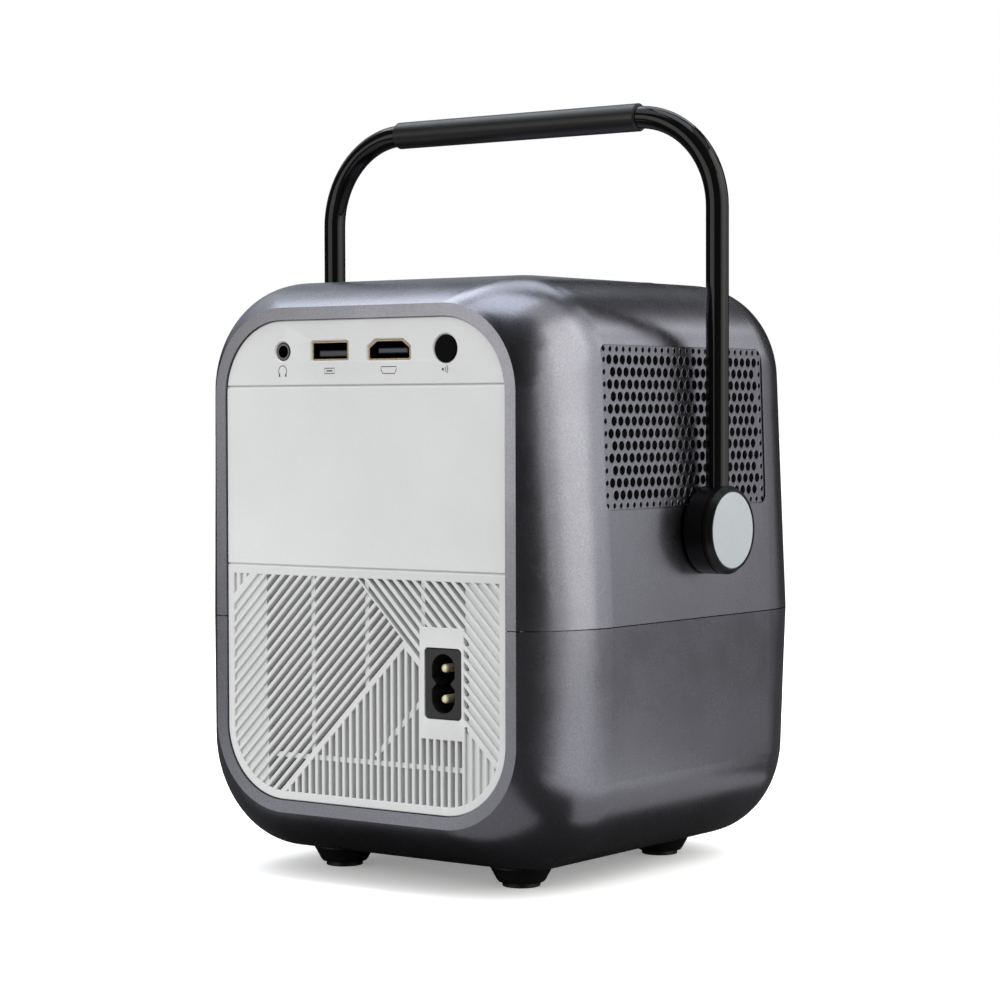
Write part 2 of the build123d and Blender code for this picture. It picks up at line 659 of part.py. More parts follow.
# ------------------------------------------------------------------ handle
def make_handle():
    with BuildPart() as bar:
        with BuildLine(Plane.XZ.offset(-PIVOT_Y)) as route:
            FilletPolyline(
                (LEG_X, LEG_BOTTOM), (LEG_X, BAR_Z), (-LEG_X, BAR_Z), (-LEG_X, LEG_BOTTOM),
                radius=BEND_R,
            )
        with BuildSketch(Plane(route.line @ 0, z_dir=route.line % 0)):
            Circle(BAR_R)
        sweep()
    save(bar, "handle_bar")
    with BuildPart() as grip:
        with BuildSketch(Plane.YZ.offset(-GRIP_HALF)):
            with Locations((PIVOT_Y, BAR_Z)):
                Circle(GRIP_R)
        extrude(amount=2 * GRIP_HALF)
        chamfer(grip.faces().filter_by(Axis.X).edges(), 0.5)
        with BuildSketch(Plane.YZ.offset(-GRIP_HALF)):
            with Locations((PIVOT_Y, BAR_Z)):
                Circle(BAR_R + 0.05)
        extrude(amount=2 * GRIP_HALF, mode=Mode.SUBTRACT)
    save(grip, "handle_grip")


def make_hub(name, side):
    """Round hub that holds a leg of the bar and turns on the shell's pin."""
    plane = Plane(origin=(side * HUB_IN, PIVOT_Y, PIVOT_Z), x_dir=(0, 1, 0), z_dir=(side, 0, 0))
    width = HUB_OUT - HUB_IN
    with BuildPart() as hub:
        with BuildSketch(plane):
            Circle(HUB_R)
        extrude(amount=width)
        rim = hub.faces().filter_by(Axis.X).sort_by(Axis.X)[-1 if side > 0 else 0]
        chamfer(rim.edges(), length=1.6, length2=1.1)
        base = hub.faces().filter_by(Axis.X).sort_by(Axis.X)[0 if side > 0 else -1]
        chamfer(base.edges(), 0.5)
        with BuildSketch(plane.offset(width - 3.0)):
            Circle(HUB_R + 1)
            Circle(HUB_R - 0.35, mode=Mode.SUBTRACT)
        extrude(amount=0.5, mode=Mode.SUBTRACT)
        with BuildSketch(plane):
            Circle(PIVOT_R + PIVOT_CLEARANCE)
        extrude(amount=width, mode=Mode.SUBTRACT)
        with BuildSketch(plane.offset(5.6)):
            Circle(7.5)
        extrude(amount=width, mode=Mode.SUBTRACT)
        with BuildSketch(plane.offset(width - DISC_T)):
            Circle(DISC_R + 0.05)
        extrude(amount=width, mode=Mode.SUBTRACT)
        with BuildSketch(Plane.XY.offset(LEG_BOTTOM)):
            with Locations((side * LEG_X, PIVOT_Y)):
                Circle(BAR_R + 0.03)
        extrude(amount=12, mode=Mode.SUBTRACT)
    save(hub, f"hub_{name}")
    with BuildPart() as disc:
        with BuildSketch(plane.offset(width - DISC_T)):
            Circle(DISC_R)
        extrude(amount=DISC_T - 0.12)
        outer = disc.faces().filter_by(Axis.X).sort_by(Axis.X)[-1 if side > 0 else 0]
        chamfer(outer.edges(), 0.3)
    save(disc, f"hub_disc_{name}")


def make_pivot(name, side):
    """Pin fixed in the shell's boss, and the screw that keeps the hub on it."""
    plane = Plane(origin=(side * 59.5, PIVOT_Y, PIVOT_Z), x_dir=(0, 1, 0), z_dir=(side, 0, 0))
    reach = HUB_IN + 5.7 - 59.5
    with BuildPart() as pin:
        with BuildSketch(plane):
            Circle(7)
        extrude(amount=2.5)
        with BuildSketch(plane):
            Circle(PIVOT_R)
        extrude(amount=reach)
        with BuildSketch(plane.offset(reach)):
            Circle(1.6)
        extrude(amount=-8, mode=Mode.SUBTRACT)
    save(pin, f"pivot_pin_{name}")
    with BuildPart() as screw:
        with BuildSketch(plane.offset(reach)):
            Circle(6)
        extrude(amount=0.6)
        with BuildSketch(plane.offset(reach + 0.6)):
            Circle(3)
        extrude(amount=1.1)
        with BuildSketch(plane.offset(reach)):
            Circle(1.55)
        extrude(amount=-7.5)
        with BuildSketch(plane.offset(reach + 1.7)):
            RegularPolygon(1.3, 6)
        extrude(amount=-1.0, mode=Mode.SUBTRACT)
    save(screw, f"pivot_screw_{name}")


# ------------------------------------------------------------------ lens and front
def make_front_panel():
    """Glossy plate in the front opening, with the lens hole."""
    plate, rim = front_outline(RING + GAP), front_outline(RING - LIP)
    drop = FRONT_PANEL_RECESS
    with BuildPart() as panel:
        extrude(plate.moved(Location((0, drop, 0))), amount=-(FLANGE - drop + 0.02))
        extrude(rim.moved(Location((0, FLANGE, 0))), amount=-2.0)
        with BuildSketch(Plane.XZ.offset(-FRONT_Y + 1)):
            with Locations((0, LENS_Z)):
                Circle(RING_R + 0.4)
        extrude(amount=-10, mode=Mode.SUBTRACT)
    save(panel, "front_panel")


def revolved(points):
    """Solid of revolution about the lens axis, from (radius, y) points."""
    with BuildPart() as turned:
        with BuildSketch(Plane.XY.offset(LENS_Z)):
            with BuildLine():
                Polyline(*points, close=True)
            make_face()
        revolve(axis=Axis((0, 0, LENS_Z), (0, 1, 0)))
    return turned


def glass(radius, flat_y, edge_y, sag):
    """Lens with a flat back and a spherical front, bulging towards -Y."""
    sphere = (radius**2 + sag**2) / (2 * sag)
    half_angle = math.asin(radius / sphere) / 2
    middle = (sphere * math.sin(half_angle), edge_y - sag + sphere * (1 - math.cos(half_angle)))
    with BuildPart() as lens:
        with BuildSketch(Plane.XY.offset(LENS_Z)):
            with BuildLine():
                Polyline((0, edge_y - sag), (0, flat_y), (radius, flat_y), (radius, edge_y))
                ThreePointArc((radius, edge_y), middle, (0, edge_y - sag))
            make_face()
        revolve(axis=Axis((0, 0, LENS_Z), (0, 1, 0)))
    return lens


def make_lens():
    barrel_r = RING_BORE - RUNNING
    barrel = revolved([
        (CELL_R, -66.0), (barrel_r, -66.0), (barrel_r, -59.0), (22.0, -59.0), (22.0, -56.5),
        (20.0, -56.5), (20.0, -33.0), (24.0, -33.0), (24.0, -30.0), (13.0, -30.0), (13.0, -48.0),
        (CELL_R, -48.0),
    ])
    save(barrel, "lens_barrel")
    cell_r = CELL_R - RUNNING
    cell = revolved([
        (13.6, -66.9), (cell_r, -66.4), (cell_r, -51.0), (10.5, -51.0), (10.5, -53.0), (12.6, -60.2),
        (13.6, -60.2),
    ])
    save(cell, "lens_cell")
    save(glass(13.5, -60.4, -63.6, 2.6), "lens_front_glass")
    save(glass(12.9, -34.0, -37.0, 3.0), "lens_rear_glass")


def make_focus_ring():
    """Ring that turns on the barrel, with grip flutes around its rim."""
    front_y, back_y = FRONT_Y + 0.2, -59.3
    ring = revolved([
        (RING_BORE, -66.3), (RING_R - 4.0, front_y), (RING_R - 0.8, front_y), (RING_R, front_y + 0.8),
        (RING_R, back_y), (RING_BORE, back_y),
    ])
    with BuildPart() as focus_ring:
        add(ring.part)
        with BuildSketch(Plane.XZ.offset(-front_y + 1)):
            with Locations((0, LENS_Z)):
                with PolarLocations(RING_R + 0.5, 48):
                    Circle(0.9)
        extrude(amount=-8, mode=Mode.SUBTRACT)
    save(focus_ring, "focus_ring")


# ------------------------------------------------------------------ inside
def make_light_engine():
    with BuildPart() as housing:
        with BuildSketch(Plane.XY.offset(CHASSIS_Z + CHASSIS_T)):
            with Locations((0, -5)):
                RectangleRounded(74, 50, 4)
        extrude(amount=58)
        with BuildSketch(Plane.XY.offset(CHASSIS_Z + CHASSIS_T + 3)):
            with Locations((0, -5)):
                Rectangle(66, 42)
        extrude(amount=52, mode=Mode.SUBTRACT)
        for y, radius in ((-30, 12.9), (20, 14)):
            with BuildSketch(Plane.XZ.offset(-y)):
                with Locations((0, LENS_Z)):
                    Circle(radius)
            extrude(amount=6, both=True, mode=Mode.SUBTRACT)
        with BuildSketch(Plane.XY.offset(CHASSIS_Z + CHASSIS_T + 58)):
            with Locations((-25, 17), (25, 17)):
                Circle(3)
        extrude(amount=2.4)
    save(housing, "light_engine")


def make_lcd_panel():
    with BuildPart() as lcd:
        with BuildSketch(Plane.XZ.offset(10)):
            with Locations((0, LENS_Z)):
                RectangleRounded(62, 46, 1)
        extrude(amount=2.4)
        with BuildSketch(Plane.XZ.offset(12.4)):
            with Locations((0, LENS_Z)):
                Rectangle(48, 30)
        extrude(amount=-0.6, mode=Mode.SUBTRACT)
    save(lcd, "lcd_panel")


def make_led_module():
    with BuildPart() as led:
        with BuildSketch(Plane.XZ.offset(-20.0)):
            with Locations((0, LENS_Z)):
                RectangleRounded(34, 34, 2)
        extrude(amount=-2.0)
        with BuildSketch(Plane.XZ.offset(-20.0)):
            with Locations((0, LENS_Z)):
                Rectangle(16, 16)
        extrude(amount=2.6)
    save(led, "led_module")


def make_heat_sink():
    base_y, back_y = 22.0, 46.0
    low, high = CHASSIS_Z + CHASSIS_T, CHASSIS_Z + CHASSIS_T + 60.4
    with BuildPart() as sink:
        with BuildSketch(Plane.XZ.offset(-base_y)):
            with Locations((0, (low + high) / 2)):
                Rectangle(70, high - low)
        extrude(amount=-4)
        with BuildSketch(Plane.XY.offset(low)):
            for index in range(14):
                with Locations((-33.8 + index * 5.2, (base_y + back_y) / 2)):
                    Rectangle(1.6, back_y - base_y)
        extrude(amount=high - low)
    save(sink, "heat_sink")


FAN_X, FAN_Z, FAN_SIZE, FAN_FRONT, FAN_DEPTH = 14.0, 54.0, 60.0, 46.0, 15.0


def make_fan():
    centre = (FAN_X, FAN_Z)
    with BuildPart() as frame:
        with BuildSketch(Plane.XZ.offset(-FAN_FRONT)):
            with Locations(centre):
                RectangleRounded(FAN_SIZE, FAN_SIZE, 4)
                Circle(28.5, mode=Mode.SUBTRACT)
                with GridLocations(50, 50, 2, 2):
                    Circle(2.1, mode=Mode.SUBTRACT)
        extrude(amount=-FAN_DEPTH)
        with BuildSketch(Plane.XZ.offset(-FAN_FRONT)):
            with Locations(centre):
                Circle(11)
                with PolarLocations(0, 3):
                    with Locations((15, 0)):
                        Rectangle(30, 3)
        extrude(amount=-2.5)
        with BuildSketch(Plane.XZ.offset(-FAN_FRONT - 2.5)):
            with Locations(centre):
                Circle(1.5)
        extrude(amount=-9)
    save(frame, "fan_frame")
    with BuildPart() as rotor:
        with BuildSketch(Plane.XZ.offset(-FAN_FRONT - 3.2)):
            with Locations(centre):
                Circle(11.5)
        extrude(amount=-10.6)
        for index in range(7):
            with BuildSketch(Plane.XZ.offset(-FAN_FRONT - 3.6)):
                with Locations(Location((FAN_X, FAN_Z, 0), (0, 0, index * 360 / 7))):
                    with Locations((19, 0)):
                        Rectangle(17, 2.2, rotation=18)
            extrude(amount=-9.6)
        with BuildSketch(Plane.XZ.offset(-FAN_FRONT - 3.2)):
            with Locations(centre):
                Circle(1.56)
        extrude(amount=-9, mode=Mode.SUBTRACT)
    save(rotor, "fan_rotor")


def make_main_board():
    board_z = CHASSIS_Z + CHASSIS_T + 60.4
    with BuildPart() as board:
        with BuildSketch(Plane.XY.offset(board_z)):
            with Locations((0, 38)):
                RectangleRounded(84, 52, 2)
        extrude(amount=1.6)
        with BuildSketch(Plane.XY.offset(board_z + 1.6)):
            with Locations((-14, 30)):
                Rectangle(16, 16)
            with Locations((8, 26), (20, 26)):
                Rectangle(8, 12)
        extrude(amount=1.6)
        with BuildSketch(Plane.XY.offset(board_z + 1.6)):
            with Locations((-34, 30), (-34, 40), (34, 30)):
                Circle(3)
        extrude(amount=7)
    save(board, "main_board")


def make_power_board():
    board_z = BODY_BOTTOM + WALL - 0.5 + 12.2
    with BuildPart() as board:
        with BuildSketch(Plane.XY.offset(board_z)):
            with Locations((0, -5)):
                RectangleRounded(60, 84, 2)
        extrude(amount=1.6)
        with BuildSketch(Plane.XY.offset(board_z + 1.6)):
            with Locations((0, -12)):
                RectangleRounded(26, 24, 2)
        extrude(amount=18)
        with BuildSketch(Plane.XY.offset(board_z + 1.6)):
            with Locations((-16, 22), (2, 22)):
                Circle(7)
        extrude(amount=24)
        with BuildSketch(Plane.XY.offset(board_z + 1.6)):
            with Locations((22, 5)):
                Rectangle(4, 40)
        extrude(amount=20)
    save(board, "power_board")


def make_speaker(name, side):
    """Round driver behind a side vent."""
    plane = Plane(origin=(side * 62.0, 22, VENT_Z), x_dir=(0, 1, 0), z_dir=(-side, 0, 0))
    with BuildPart() as speaker:
        with BuildSketch(plane):
            RectangleRounded(40, 40, 5)
        extrude(amount=2)
        with BuildSketch(plane.offset(2)):
            Circle(17)
        extrude(amount=5, taper=25)
        with BuildSketch(plane.offset(7)):
            Circle(11)
        extrude(amount=6)
        with BuildSketch(plane):
            Circle(16)
        extrude(amount=4, taper=40, mode=Mode.SUBTRACT)
    save(speaker, f"speaker_{name}")


def make_chassis():
    """Plate under the light engine, on four legs that stand on the screw posts."""
    post_top = BODY_BOTTOM + WALL - 0.5 + 8
    with BuildPart() as chassis:
        with BuildSketch(Plane.XY.offset(CHASSIS_Z)):
            with Locations((0, 4)):
                RectangleRounded(108, 114, 8)
            with Locations((-28.9, 55)):
                Rectangle(20, 14, mode=Mode.SUBTRACT)
        extrude(amount=CHASSIS_T)
        with BuildSketch(Plane.XY.offset(post_top)):
            with GridLocations(2 * POST_X, 2 * POST_Y, 2, 2):
                Circle(POST_R)
        extrude(amount=CHASSIS_Z - post_top)
        with BuildSketch(Plane.XY.offset(post_top)):
            with GridLocations(2 * POST_X, 2 * POST_Y, 2, 2):
                Circle(1.55)
        extrude(amount=12, mode=Mode.SUBTRACT)
    save(chassis, "chassis")


# ------------------------------------------------------------------ feet and fasteners
def make_feet():
    places = {
        "rear_left": (FOOT_X, FOOT_REAR_Y), "rear_right": (-FOOT_X, FOOT_REAR_Y),
        "front_left": (FOOT_X, FOOT_FRONT_Y), "front_right": (-FOOT_X, FOOT_FRONT_Y),
    }
    for name, (x, y) in places.items():
        with BuildPart() as foot:
            with BuildSketch(Plane.XZ):
                with BuildLine():
                    Polyline(
                        (0, BODY_BOTTOM + 0.6),
                        (FOOT_TOP_R, BODY_BOTTOM + 0.6),
                        (FOOT_TOP_R, BODY_BOTTOM - 0.3),
                        (FOOT_LOW_R + 0.5, PAD_T + 0.6),
                        (FOOT_LOW_R, PAD_T),
                        (0, PAD_T),
                        close=True,
                    )
                make_face()
            revolve(axis=Axis.Z)
            with BuildSketch(Plane.XY.offset(PAD_T)):
                Circle(PAD_R)
            extrude(amount=0.8, mode=Mode.SUBTRACT)
        foot.part.move(Location((x, y, 0)))
        save(foot, f"foot_{name}")
    with BuildPart() as pads:
        with BuildSketch(Plane.XY):
            with Locations(*places.values()):
                Circle(PAD_R - 0.02)
        extrude(amount=PAD_T + 0.8)
        fillet(pads.faces().group_by(Axis.Z)[0].edges(), 0.3)
    save(pads, "foot_pads")


def make_fasteners():
    with BuildPart() as screws:
        with BuildSketch(Plane.XY.offset(BODY_BOTTOM + 3.2)):
            with GridLocations(2 * POST_X, 2 * POST_Y, 2, 2):
                Circle(1.5)
        extrude(amount=16)
        with BuildSketch(Plane.XY.offset(BODY_BOTTOM + 1.0)):
            with GridLocations(2 * POST_X, 2 * POST_Y, 2, 2):
                Circle(2.9)
        extrude(amount=2.2)
        with BuildSketch(Plane.XY.offset(BODY_BOTTOM + 1.0)):
            with GridLocations(2 * POST_X, 2 * POST_Y, 2, 2):
                Rectangle(3.4, 0.8)
                Rectangle(0.8, 3.4)
        extrude(amount=1.2, mode=Mode.SUBTRACT)
    save(screws, "bottom_screws")
    with BuildPart() as insert:
        with BuildSketch(Plane.XY.offset(BODY_BOTTOM + 0.2)):
            Circle(6)
            Circle(TRIPOD_R, mode=Mode.SUBTRACT)
        extrude(amount=TRIPOD_LENGTH)
    save(insert, "stand_insert")


# ------------------------------------------------------------------ keys
def make_keys():
    seat_z = BODY_TOP - 1.5
    key_places = [((index - 2) * KEY_PITCH, KEY_Y) for index in range(5)]
    with BuildPart() as bezel:
        with BuildSketch(Plane.XY.offset(seat_z)):
            with Locations((0, KEY_Y)):
                SlotCenterToCenter(4 * KEY_PITCH + 4, 15)
            with Locations(*key_places):
                Circle(KEY_R + 0.15, mode=Mode.SUBTRACT)
        extrude(amount=1.5)
    save(bezel, "key_bezel")
    for name, (x, y) in zip(KEY_NAMES, key_places):
        with BuildPart() as key:
            with BuildSketch(Plane.XY.offset(seat_z - 2.4)):
                with Locations((x, y)):
                    Circle(KEY_R)
            extrude(amount=1.5 + 2.4 + KEY_PROUD)
            fillet(key.faces().sort_by(Axis.Z)[-1].edges(), 0.4)
            with BuildSketch(Plane.XY.offset(seat_z - 2.4)):
                with Locations((x, y)):
                    Circle(1.4)
            extrude(amount=-1.6)
        save(key, name)
    board_top = seat_z - 2.4 - 1.6 - KEY_TRAVEL - 0.3
    with BuildPart() as board:
        with BuildSketch(Plane.XY.offset(board_top)):
            with Locations((0, KEY_Y)):
                RectangleRounded(4 * KEY_PITCH + 14, 14, 2)
        extrude(amount=-1.6)
        with BuildSketch(Plane.XY.offset(board_top)):
            with Locations((-35, KEY_Y), (35, KEY_Y)):
                Circle(1.2)
        extrude(amount=BODY_TOP - WALL - board_top)
    save(board, "key_board")


make_upper_shell()
make_lower_shell()
make_vents()
make_rear_port_panel()
make_rear_blank_panel()
make_rear_grille()
make_dust_filter()
make_mains_inlet()
make_sockets()
make_audio_jack()
make_ir_window()
make_handle()
for side_name, side_sign in SIDES.items():
    make_hub(side_name, side_sign)
    make_pivot(side_name, side_sign)
    make_speaker(side_name, side_sign)
make_front_panel()
make_lens()
make_focus_ring()
make_light_engine()
make_lcd_panel()
make_led_module()
make_heat_sink()
make_fan()
make_main_board()
make_power_board()
make_chassis()
make_feet()
make_fasteners()
make_keys()
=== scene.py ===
import bmesh
import bpy
import json
import math
import random
from mathutils import Matrix, Vector


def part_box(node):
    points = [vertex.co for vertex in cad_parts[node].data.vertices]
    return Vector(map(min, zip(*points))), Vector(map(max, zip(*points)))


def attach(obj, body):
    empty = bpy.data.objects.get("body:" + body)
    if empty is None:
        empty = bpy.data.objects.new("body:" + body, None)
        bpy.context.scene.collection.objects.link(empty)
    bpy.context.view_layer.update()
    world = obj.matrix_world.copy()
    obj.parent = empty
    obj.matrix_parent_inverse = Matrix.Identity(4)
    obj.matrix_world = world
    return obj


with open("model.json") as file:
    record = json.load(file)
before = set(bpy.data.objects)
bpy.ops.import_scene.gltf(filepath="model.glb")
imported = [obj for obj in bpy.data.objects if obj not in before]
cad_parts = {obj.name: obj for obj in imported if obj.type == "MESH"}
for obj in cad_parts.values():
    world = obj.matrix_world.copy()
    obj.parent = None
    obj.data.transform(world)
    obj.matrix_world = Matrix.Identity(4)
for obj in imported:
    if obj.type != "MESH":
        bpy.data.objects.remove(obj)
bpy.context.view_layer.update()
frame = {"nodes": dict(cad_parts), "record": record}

CAD_BOX_OF_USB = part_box("usb_socket")
NODES = frame["nodes"]
MM = 0.001


# ------------------------------------------------------------------ node helpers
class Shader:
    """Small helper that builds one procedural material."""

    def __init__(self, name, color, roughness, metallic=0.0, **sockets):
        self.material = bpy.data.materials.new(name)
        self.material.use_nodes = True
        self.tree = self.material.node_tree
        self.nodes, self.links = self.tree.nodes, self.tree.links
        self.bsdf = self.nodes["Principled BSDF"]
        self.set("Base Color", (*color, 1.0))
        self.set("Roughness", roughness)
        self.set("Metallic", metallic)
        for socket, value in sockets.items():
            self.set(socket.replace("_", " "), value)
        self.coords = self.nodes.new("ShaderNodeTexCoord").outputs["Object"]
        self.normal = None

    def set(self, socket, value):
        self.bsdf.inputs[socket].default_value = value

    def noise(self, size, detail=2.0, roughness=0.5):
        """Noise whose features are about size metres across."""
        node = self.nodes.new("ShaderNodeTexNoise")
        node.inputs["Scale"].default_value = 1.0 / size
        node.inputs["Detail"].default_value = detail
        node.inputs["Roughness"].default_value = roughness
        self.links.new(self.coords, node.inputs["Vector"])
        return node.outputs["Fac"]

    def ramp(self, value, low, high, out_low=0.0, out_high=1.0):
        """Linear map of a value from low..high to out_low..out_high, clamped."""
        node = self.nodes.new("ShaderNodeMapRange")
        limits = {"From Min": low, "From Max": high, "To Min": out_low, "To Max": out_high}
        for name, number in limits.items():
            node.inputs[name].default_value = number
        self.links.new(value, node.inputs["Value"])
        return node.outputs["Result"]

    def math(self, kind, a, b=0.0):
        node = self.nodes.new("ShaderNodeMath")
        node.operation = kind
        for socket, value in zip(node.inputs, (a, b)):
            if isinstance(value, (int, float)):
                socket.default_value = value
            else:
                self.links.new(value, socket)
        return node.outputs["Value"]

    def mix(self, factor, a, b):
        """Blend of two colours, given as colours or sockets."""
        node = self.nodes.new("ShaderNodeMix")
        node.data_type = "RGBA"
        for socket, value in ((node.inputs[0], factor), (node.inputs[6], a), (node.inputs[7], b)):
            if isinstance(value, tuple):
                socket.default_value = (*value, 1.0)
            elif isinstance(value, float):
                socket.default_value = value
            else:
                self.links.new(value, socket)
        return node.outputs[2]

    def color(self, socket):
        self.links.new(socket, self.bsdf.inputs["Base Color"])

    def roughness(self, socket):
        self.links.new(socket, self.bsdf.inputs["Roughness"])

    def bump(self, height, depth):
        """Add a bump layer of the given depth in metres."""
        node = self.nodes.new("ShaderNodeBump")
        node.inputs["Distance"].default_value = depth
        self.links.new(height, node.inputs["Height"])
        if self.normal is not None:
            self.links.new(self.normal, node.inputs["Normal"])
        self.normal = node.outputs["Normal"]
        self.links.new(self.normal, self.bsdf.inputs["Normal"])

    def edges(self):
        """1 on convex edges, 0 on flat faces."""
        geometry = self.nodes.new("ShaderNodeNewGeometry")
        return self.ramp(geometry.outputs["Pointiness"], 0.51, 0.60)


def shade(color, factor):
    return tuple(min(1.0, c * factor) for c in color)


def speckled(name, color, roughness, metallic, grain, contrast, depth, **sockets):
    """Paint or plastic with a fine grain, slow colour drift and slightly paler edges.

    grain is the size of the speckles and depth their height, both in metres.
    """
    s = Shader(name, color, roughness, metallic, **sockets)
    fine = s.noise(grain, 3.0, 0.6)
    slow = s.noise(0.03, 2.0, 0.5)
    drift = s.mix(s.ramp(slow, 0.3, 0.7), shade(color, 0.96), shade(color, 1.04))
    dots = s.ramp(fine, 0.36, 0.64, 1.0 - contrast, 1.0 + contrast)
    tint = s.nodes.new("ShaderNodeVectorMath")
    tint.operation = "SCALE"
    s.links.new(drift, tint.inputs[0])
    s.links.new(dots, tint.inputs["Scale"])
    worn = s.mix(s.math("MULTIPLY", s.edges(), 0.15), tint.outputs["Vector"], shade(color, 1.5))
    s.color(worn)
    s.roughness(s.ramp(s.noise(0.012, 4.0, 0.6), 0.3, 0.7, roughness * 0.9, roughness * 1.1))
    s.bump(fine, depth)
    return s.material


def woven(name, color, pitch, depth, directions=("X", "Z")):
    """Woven mesh of round threads, one pitch apart, along two of the object's axes, with painted shade
    from the crown of each thread into the gaps between threads.
    """
    s = Shader(name, color, 0.85)
    waves = []
    for direction in directions:
        wave = s.nodes.new("ShaderNodeTexWave")
        wave.bands_direction = direction
        wave.inputs["Scale"].default_value = 0.05 * 2 * math.pi / pitch
        wave.inputs["Distortion"].default_value = 0.3
        wave.inputs["Detail"].default_value = 1.0
        s.links.new(s.coords, wave.inputs["Vector"])
        waves.append(wave.outputs["Fac"])
    thread = s.math("MAXIMUM", *waves)
    fuzz = s.noise(0.0006, 3.0, 0.6)
    # painted shade: the colour darkens from each thread's crown into the gaps between threads, times a
    # random fuzz tone
    weave_shade_and_fuzz = s.math("MULTIPLY", s.ramp(thread, 0.45, 1.0, 0.25, 1.0), s.ramp(fuzz, 0.3, 0.7, 0.8, 1.15))
    s.color(s.mix(weave_shade_and_fuzz, shade(color, 0.12), shade(color, 1.15)))
    s.roughness(s.ramp(fuzz, 0.3, 0.7, 0.75, 0.95))
    s.bump(thread, depth)
    s.bump(fuzz, depth * 0.4)
    return s.material


def socket_plating_and_painted_shade():
    """Gilt plating on a socket's rim, with painted shade that turns the stamped inside near black deeper
    in.
    """
    s = Shader("socket_gilt_painted_shade", (0.60, 0.47, 0.28), 0.28, 1.0)
    separate = s.nodes.new("ShaderNodeSeparateXYZ")
    s.links.new(s.coords, separate.inputs["Vector"])
    rim = CAD_BOX_OF_USB[1][1]
    # painted shade: the colour fades from the gilt at the rim to near black deeper inside the socket
    depth = s.ramp(separate.outputs["Y"], rim - 0.9 * MM, rim - 0.15 * MM)
    fine = s.noise(0.0007, 3.0, 0.6)
    gilt = s.mix(s.ramp(fine, 0.35, 0.65), (0.26, 0.19, 0.11), (0.36, 0.27, 0.16))
    s.color(s.mix(depth, (0.012, 0.011, 0.010), gilt))
    s.roughness(s.ramp(fine, 0.3, 0.7, 0.24, 0.34))
    s.bump(fine, 0.000004)
    return s.material


def materials():
    m = {}
    for slot, name in (("shell_metallic", "paint_shell"), ("vent_paint", "paint_vent")):
        m[slot] = speckled(name, (0.20, 0.20, 0.228), 0.27, 1.0, 0.0005, 0.09, 0.000002)
    m["panel_white"] = speckled("plastic_white", (0.645, 0.65, 0.658), 0.42, 0.0, 0.0006, 0.015, 0.000006)
    m["filter_mesh"] = woven("filter_mesh", (0.52, 0.48, 0.45), 0.0011, 0.00010)
    m["inlet_grey"] = speckled("plastic_inlet", (0.008, 0.008, 0.009), 0.45, 0.0, 0.0006, 0.1, 0.00001)
    m["nickel"] = speckled("pin_nickel", (0.78, 0.69, 0.46), 0.3, 0.5, 0.0008, 0.06, 0.000004)
    m["socket_brass"] = socket_plating_and_painted_shade()
    m["tongue_blue_grey"] = speckled("plastic_tongue", (0.035, 0.043, 0.055), 0.4, 0.0, 0.0006, 0.08,
                                     0.000006)
    m["window_black"] = speckled("plastic_window", (0.002, 0.002, 0.0025), 0.2, 0.0, 0.002, 0.1, 0.000001,
                                 Specular_IOR_Level=0.02)
    # black sheet behind the vents: painted shade inside the vent holes
    m["backing_black"] = woven("backing_shade_sheet", (0.012, 0.012, 0.012), 0.0006, 0.00006, ("Y", "Z"))
    m["print_grey"] = speckled("print_grey", (0.05, 0.05, 0.052), 0.6, 0.0, 0.0004, 0.2, 0.000002)
    m["gloss_black"] = speckled("plastic_gloss_black", (0.003, 0.003, 0.0035), 0.08, 0.0, 0.002, 0.1,
                                0.000001, Coat_Weight=0.5, Coat_Roughness=0.04)
    m["handle_black"] = speckled("paint_handle", (0.003, 0.003, 0.0034), 0.08, 0.0, 0.0009, 0.1, 0.000001,
                                 Specular_IOR_Level=0.25)
    m["grip_black"] = speckled("rubber_grip", (0.006, 0.006, 0.0065), 0.38, 0.0, 0.0004, 0.15, 0.00001,
                               Specular_IOR_Level=0.4)
    m["hub_black"] = speckled("plastic_hub", (0.003, 0.003, 0.0035), 0.3, 0.0, 0.0005, 0.12, 0.000006,
                              Specular_IOR_Level=0.22)
    m["disc_silver"] = speckled("disc_silver", (0.41, 0.445, 0.46), 0.34, 0.4, 0.0006, 0.03, 0.000004)
    m["steel"] = speckled("steel_bright", (0.55, 0.55, 0.56), 0.3, 1.0, 0.0008, 0.06, 0.000006)
    m["lens_black"] = speckled("anodised_black", (0.012, 0.012, 0.013), 0.42, 0.2, 0.0005, 0.12, 0.000008)
    m["lens_glass"] = Shader("lens_glass", (0.85, 0.9, 0.95), 0.03, 0.0, Transmission_Weight=0.9, IOR=1.5,
                             Coat_Weight=0.6, Coat_Tint=(0.6, 0.5, 0.95, 1.0)).material
    m["engine_aluminium"] = speckled("aluminium_raw", (0.45, 0.46, 0.47), 0.42, 1.0, 0.0008, 0.08, 0.00001)
    m["board_green"] = speckled("board_green", (0.01, 0.07, 0.03), 0.35, 0.0, 0.0012, 0.15, 0.000006)
    m["fan_black"] = speckled("plastic_fan", (0.015, 0.015, 0.016), 0.4, 0.0, 0.0006, 0.12, 0.000008)
    m["foot_rubber"] = speckled("rubber_foot", (0.006, 0.006, 0.0065), 0.45, 0.0, 0.0005, 0.15, 0.000015)
    m["key_grey"] = speckled("plastic_key", (0.16, 0.16, 0.17), 0.4, 0.3, 0.0005, 0.08, 0.000006)
    m["brass"] = speckled("brass_insert", (0.60, 0.42, 0.18), 0.3, 1.0, 0.0008, 0.08, 0.000008)
    m["speaker_cone"] = speckled("paper_cone", (0.02, 0.02, 0.02), 0.8, 0.0, 0.0008, 0.15, 0.00003)
    return m


